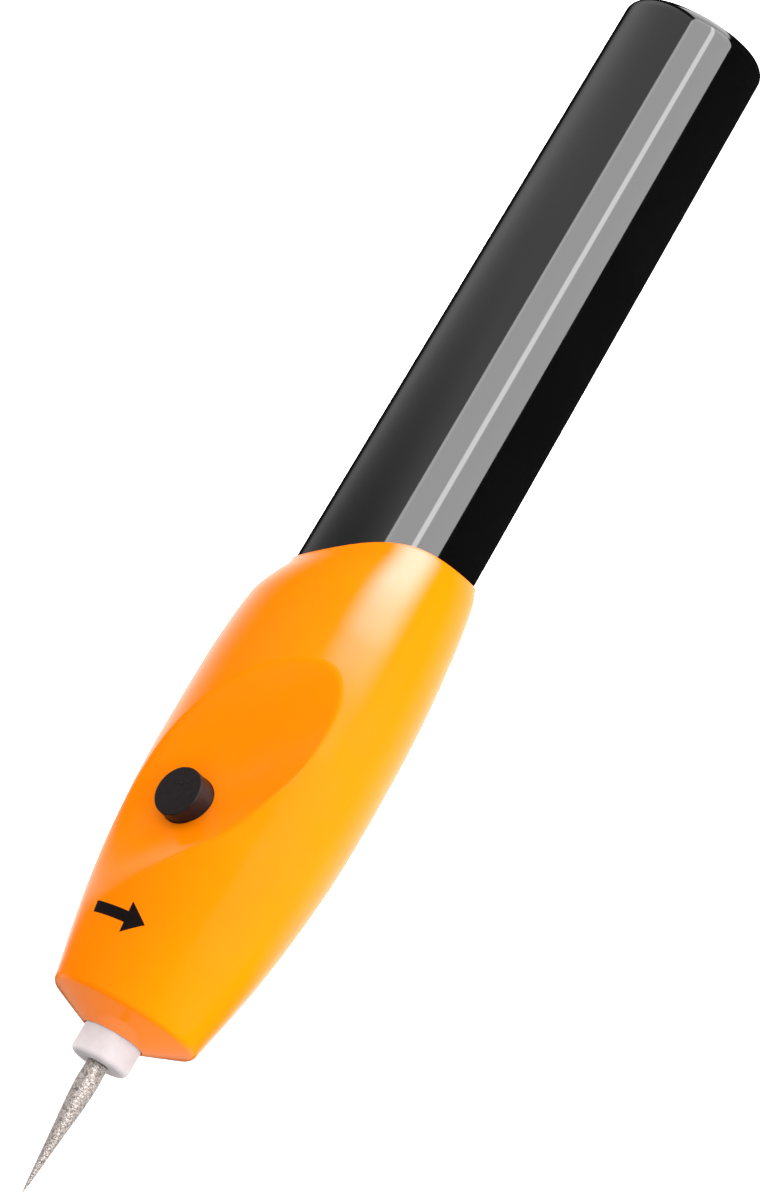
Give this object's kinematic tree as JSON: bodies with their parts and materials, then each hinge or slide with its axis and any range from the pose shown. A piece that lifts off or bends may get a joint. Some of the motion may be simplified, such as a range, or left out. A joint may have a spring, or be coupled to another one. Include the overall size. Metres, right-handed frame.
{
  "type": "electric engraving pen",
  "caption": "Battery-powered engraving pen: tapered battery tube, contoured grip with a finger dish and push button, turning chuck collar and a pull-out grit-coated bur.",
  "frame": {"origin": "centre of the flat tail face that the pen stands on", "axes": "+Z along the pen's axis from the tail to the engraving point, -Y out through the power button, +X to the right when looking at the button"},
  "size_m": [0.0276, 0.0276, 0.1679],
  "materials": {
    "grip_orange": "smooth moulded, satin to semi-gloss",
    "tube_black": "glossy moulded",
    "button_black": "fine matte texture",
    "collar_white": "translucent natural nylon",
    "bur_grit": "coated with sharp metallic grit",
    "inner_plastic": "plain moulded",
    "steel": "plated",
    "copper": "enamelled wire and bare segments",
    "brass": "bare strip",
    "ferrite": "sintered",
    "cell_wrap": "plain printed sleeve",
    "lead_red": "insulated wire",
    "lead_black": "insulated wire"
  },
  "bodies": {
    "root": {"grip_shell": "grip_orange", "switch_base": "inner_plastic", "switch_leaf": "brass", "switch_contact": "brass", "motor_can": "steel", "motor_end_cap": "inner_plastic", "motor_magnet_1": "ferrite", "motor_magnet_2": "ferrite", "motor_brush_1": "brass", "motor_brush_2": "brass", "motor_terminal_1": "brass", "motor_terminal_2": "brass", "motor_front_bush": "brass", "motor_rear_bush": "brass", "battery_carrier": "inner_plastic", "battery_rear": "cell_wrap", "battery_front": "cell_wrap", "front_contact_plate": "steel", "tail_contact_plate": "steel", "tail_contact_spring": "steel", "return_strip": "brass", "motor_lead_positive": "lead_red", "motor_lead_negative": "lead_black"},
    "battery_tube": {"battery_tube": "tube_black"},
    "button": {"power_button": "button_black"},
    "spindle": {"armature_core": "steel", "armature_winding_1": "copper", "armature_winding_2": "copper", "armature_winding_3": "copper", "commutator": "copper", "motor_shaft": "steel", "chuck_collar": "collar_white"},
    "bur": {"engraving_bur": "bur_grit"}
  },
  "joints": [
    {"name": "battery_tube_pull", "type": "slide", "parent": "root", "child": "battery_tube", "axis": [0, 0, -1], "range_m": [0, 0.1]},
    {"name": "button_press", "type": "slide", "parent": "root", "child": "button", "axis": [0, 1, 0], "range_m": [0, 0.0012], "stiffness_N_per_m": 800, "springref_m": -0.0008, "deforming": ["switch_leaf"]},
    {"name": "spindle_turn", "type": "hinge", "parent": "root", "child": "spindle", "pos_m": [0, 0, 0.1398], "axis": [0, 0, 1], "continuous": true},
    {"name": "bur_pull", "type": "slide", "parent": "spindle", "child": "bur", "axis": [0, 0, 1], "range_m": [0, 0.012]}
  ]
}
